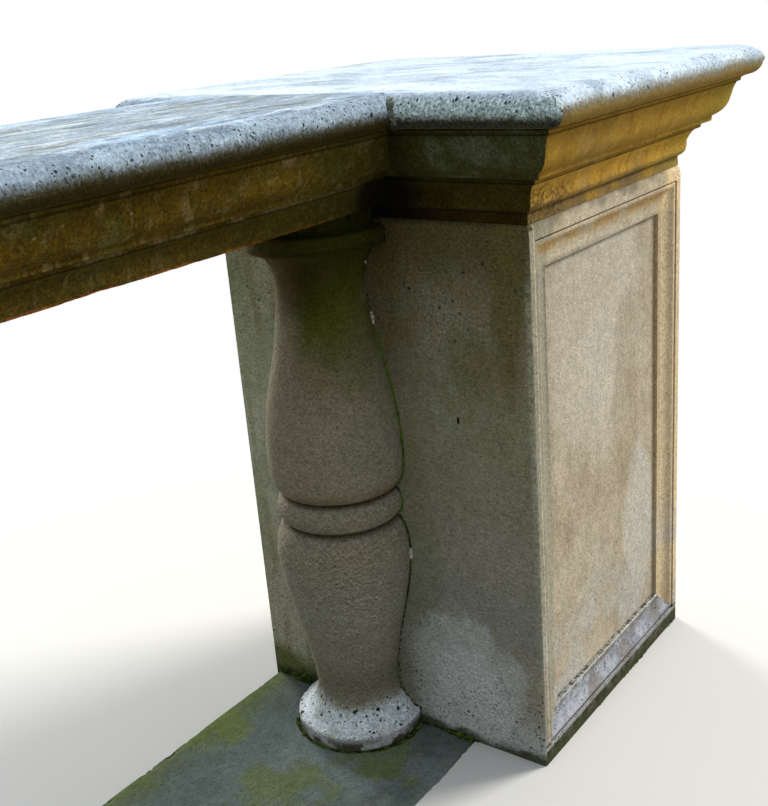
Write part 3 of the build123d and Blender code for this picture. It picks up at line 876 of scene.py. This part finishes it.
def nose_mitre(middle, run):
    return mitre(middle, run) and middle.z > NOSE_FOOT - 0.003


def low_arris(middle, run):
    """Lower edges of a rail, and the outline of its ends."""
    return middle.z < RAIL_FOOT + 0.003 or (abs(run.x) < 0.3 and middle.z < TOP - 0.003)


def any_edge(middle, run):
    return True


def disc_rim(middle, run):
    return middle.z < TERRACE + 0.035


def cope(middle, run):
    """Outline of the end of a rail where it meets a cap, below its flat top."""
    return abs(middle.x) > PIER_FACE - 0.12 and abs(middle.y - LINE) > 0.17


def cope_nose(middle, run):
    return cope(middle, run) and middle.z > NOSE_FOOT + 0.004


def garden_corner(middle, run):
    """Mitre of a cap's nose on the corner that is out of the weather."""
    return nose_mitre(middle, run) and middle.y > 0.0 and abs(middle.x) < PIER_FACE + 0.1


def open_corner(middle, run):
    return nose_mitre(middle, run) and not garden_corner(middle, run)


def weather_all():
    """Worn copies of all the stones."""
    for seed, name in enumerate(sorted(NODES)):
        if name.startswith("pier_die"):
            weather(name, [(upright_corner, 0.012, 0.0012, 0.004)], seed)
        elif name.startswith("pier_cap"):
            corners = [(open_corner, 0.034, 0.008, 0.004), (garden_corner, 0.014, 0.002, 0.002)]
            weather(name, corners + [(mitre, 0.010, 0.001, 0.004)], seed)
        elif name in END_RAILS.values():
            joint = [(cope_nose, 0.018, 0.006, 0.008), (cope, 0.006, 0.0015, 0.003)]
            weather(name, joint + [(low_arris, 0.010, 0.0008, 0.005)], seed)
        elif name.startswith("handrail"):
            weather(name, [(low_arris, 0.010, 0.0008, 0.005)], seed)
        elif name.startswith("base_course"):
            weather(name, [(any_edge, 0.016, 0.002, 0.007)], seed)
        else:
            weather(name, [(disc_rim, 0.008, 0.0006, 0.004)], seed)


def upright_corner(middle, run):
    """Outer corners of a pier's shaft."""
    side = min(abs(abs(middle.x) - PIER[0].x), abs(abs(middle.x) - PIER[1].x))
    return abs(run.z) > 0.9 and side < 0.004 and abs(abs(middle.y) - PIER[1].y) < 0.004


# The two ends of the row and the way that x runs there
ENDS = (("east", 1.0), ("west", -1.0))

# Distance of the lumps of moss along their lines, and of those in the seam of an end baluster
MOSS_STEP, SEAM_STEP = 0.0024, 0.0018

# Growth in that seam thins out at its foot and head: level and reach of each
SEAM_FOOT, SEAM_HEAD = (0.16, 0.14), (0.84, 0.10)

# Distance of an end baluster's axis from the face of its pier
ENGAGED_OUT = 0.035


def lumps(name, places, seed, material, flat=0.7):
    """One mesh of small uneven lumps; each place is its centre, its radius and the way it faces."""
    ball = bmesh.new()
    bmesh.ops.create_icosphere(ball, subdivisions=1, radius=1.0)
    points = [v.co.copy() for v in ball.verts]
    faces = [[v.index for v in f.verts] for f in ball.faces]
    ball.free()
    verts, polys = [], []
    for i, (centre, radius, facing) in enumerate(places):
        turn = Vector(facing).normalized().to_track_quat("Z", "Y").to_matrix()
        start = len(verts)
        for point in points:
            uneven = radius * (1.0 + 0.55 * noise.noise(point * 1.1 + Vector((seed, i * 1.7, 0.0))))
            verts.append(Vector(centre) + turn @ Vector((point.x, point.y, point.z * flat)) * uneven)
        polys += [[start + k for k in face] for face in faces]
    mesh = bpy.data.meshes.new(name)
    mesh.from_pydata(verts, [], polys)
    mesh.shade_smooth()
    mesh.materials.append(material)
    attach(put(name, mesh), "root")


def chance(*key):
    """Steady number from 0 to 1 for a key."""
    return noise.cell(Vector(key) * 7.31 + Vector((0.37, 0.11, 0.73))) * 0.5 + 0.5


def seam_places(end, way, side):
    """Growth in the joint of a half baluster and its pier, thick in the middle and broken at its ends."""
    rim = {}
    for vert in NODES["engaged_baluster_" + end].data.vertices:
        if abs(abs(vert.co.x) - PIER_FACE) < 0.0003 and (vert.co.y - LINE) * side > 0.0:
            level = round(vert.co.z, 4)
            rim[level] = max(rim.get(level, 0.0), abs(vert.co.y - LINE))
    levels = sorted(rim)
    places = []
    for low_z, high_z in zip(levels, levels[1:]):
        count = max(1, round(math.hypot(high_z - low_z, rim[high_z] - rim[low_z]) / SEAM_STEP))
        for i in range(count):
            share = i / count
            z = low_z + (high_z - low_z) * share
            out = rim[low_z] + (rim[high_z] - rim[low_z]) * share
            thick = min((z - SEAM_FOOT[0]) / SEAM_FOOT[1], (SEAM_HEAD[0] - z) / SEAM_HEAD[1])
            thick = min(1.0, max(0.25, thick))
            if chance(z * 90.0, side, way) < thick:
                radius = (0.0020 + 0.0022 * chance(z * 400.0, side, 2.0)) * (0.6 + 0.4 * thick)
                place = (way * (PIER_FACE - 0.0006), LINE + side * (out + 0.0006), z)
                places.append((place, radius, (-way, side, 0.0)))
    return places


def disc_places(name):
    """Moss and grit round the foot of a baluster, on the base course."""
    points = [v.co for v in NODES[name].data.vertices if abs(v.co.z - TERRACE) < 0.002]
    middle = (min(p.x for p in points) + max(p.x for p in points)) / 2
    if "engaged" in name:
        middle = math.copysign(PIER_FACE - ENGAGED_OUT, points[0].x)
    radius = max(p.y for p in points) - LINE
    places = []
    for i in range(int(2 * math.pi * radius / MOSS_STEP)):
        angle = i * MOSS_STEP / radius
        grow = 0.5 + noise.noise(Vector((middle, math.cos(angle) * 2.5, math.sin(angle) * 2.5)))
        if grow < 0.22:
            continue
        size = 0.0018 + 0.0040 * grow * chance(i, middle, 3.0)
        out = radius + size * 0.35 + 0.004 * grow * chance(i, middle, 4.0)
        x, y = middle + out * math.cos(angle), LINE + out * math.sin(angle)
        if abs(x) < PIER_FACE:
            places.append(((x, y, TERRACE + size * 0.25), size, (0.0, 0.0, 1.0)))
    return places


def line_places(a, b, facing, seed, least, size):
    """Growth along a straight line, broken by noise."""
    start, run = Vector(a), Vector(b) - Vector(a)
    places = []
    for i in range(int(run.length / MOSS_STEP)):
        spot = start + run * (i * MOSS_STEP / run.length)
        grow = 0.5 + noise.noise(spot * 11.0 + Vector((seed, 0.0, 0.0)))
        if grow > least:
            radius = size * (0.45 + grow * chance(i, seed, 5.0))
            drift = Vector((chance(i, seed, 6.0), chance(i, seed, 7.0), chance(i, seed, 8.0))) * size
            places.append((spot + drift * 0.6, radius, facing))
    return places


def joint_places(name, seed):
    """Crumbs in the joint of a rail's end and the cap that it meets."""
    bm = stone_mesh(name)
    spots = arrises(bm, cope)
    bm.free()
    places = []
    for i, spot in enumerate(spots):
        on_nose = spot.z > NOSE_FOOT + 0.010
        grow = 0.5 + noise.noise(spot * 16.0 + Vector((seed, 0.0, 0.0)))
        if grow < (0.15 if on_nose else 0.55):
            continue
        out, way = math.copysign(1.0, spot.y - LINE), math.copysign(1.0, spot.x)
        for k in range(4 if on_nose else 1):
            size = 0.0014 + 0.0050 * grow * chance(i, seed, k + 11.0)
            along = (0.009 * chance(i, seed, k + 12.0) + 0.001) * way
            deep = -out * (0.005 * chance(i, seed, k + 13.0) + 0.0005)
            place = spot + Vector((along, deep, 0.006 * (chance(i, seed, k + 14.0) - 0.7)))
            place.z = min(place.z, TOP - 1.6 * size)
            places.append((place, size, (0.0, out, 0.8)))
    return places


# Lines of moss along the foot of a pier's face towards the rail:
# gap from the face, start and end across the row, seed, least growth and size
FOOT_MOSS = (
    (0.000, -0.16, 0.274, 3.0, 0.30, 0.0030),
    (0.002, 0.10, 0.272, 7.0, 0.36, 0.0075),
    (0.006, 0.20, 0.268, 9.0, 0.30, 0.0120),
    (0.003, -0.15, -0.02, 8.0, 0.42, 0.0060),
)
OUT_SIDE = -PIER_SIDE - 0.0003

# Runs of lime in the seam of an end baluster: level and length
LIME_RUNS = ((0.775, 0.022), (0.385, 0.012), (0.865, 0.010))


def add_growth():
    """Moss, mortar crumbs and lime in the joints of the stones."""
    green, crumb, chalk = moss(), mortar(), lime()
    for end, way in ENDS:
        front = seam_places(end, way, -1.0)
        lumps("moss_in_seam_" + end, front + seam_places(end, way, 1.0), 1.0, green)
        drops = []
        for level, length in LIME_RUNS:
            run = [place for place in front if abs(place[0][2] - level) < length / 2]
            drops += [(spot, size * 1.5, facing) for spot, size, facing in run]
        lumps("lime_in_seam_" + end, drops, 5.0, chalk, 0.8)
        lumps("crumbs_in_joint_" + end, joint_places(END_RAILS[end], 6.0 * way), 6.0, crumb)
    discs = []
    for name in sorted(NODES):
        if "baluster" in name:
            discs += disc_places(name)
    lumps("moss_round_discs", discs, 2.0, green)
    for end, way in ENDS:
        face = way * (PIER_FACE - 0.0005)
        foot = []
        for gap, start, stop, seed, least, size in FOOT_MOSS:
            x = face - gap * way
            foot += line_places((x, start, TERRACE), (x, stop, TERRACE), (-way, 0, 1), seed * way, least,
                                size)
        start, stop = (face + 0.01 * way, OUT_SIDE, TERRACE), (face + 0.52 * way, OUT_SIDE, TERRACE)
        foot += line_places(start, stop, (0, -1, 1), 4.0 * way, 0.62, 0.0026)
        lumps("moss_at_pier_foot_" + end, foot, 3.0, green)


def dress():
    """Gives every stone of the frame its material."""
    for name, piece in NODES.items():
        for slot in piece.material_slots:
            slot.material = STONES[kind_of(name)]


STONES = {
    "pier_die": stone_die(),
    "pier_cap": stone_cap(),
    "handrail": stone_rail(),
    "baluster": stone_baluster(),
    "base_course": stone_base(),
}
STONES["engaged_baluster"] = STONES["baluster"]
dress()
weather_all()
add_growth()
bpy.context.scene.view_settings.view_transform = "Standard"
add_camera()
add_world()
add_floor()
add_sun("key", (3.0, -1.8, 2.2), 3.8, 22.0, (1.0, 0.95, 0.87))
add_sun("rim", (0.42, 0.92, 0.30), 3.2, 18.0, (1.0, 0.98, 0.92))
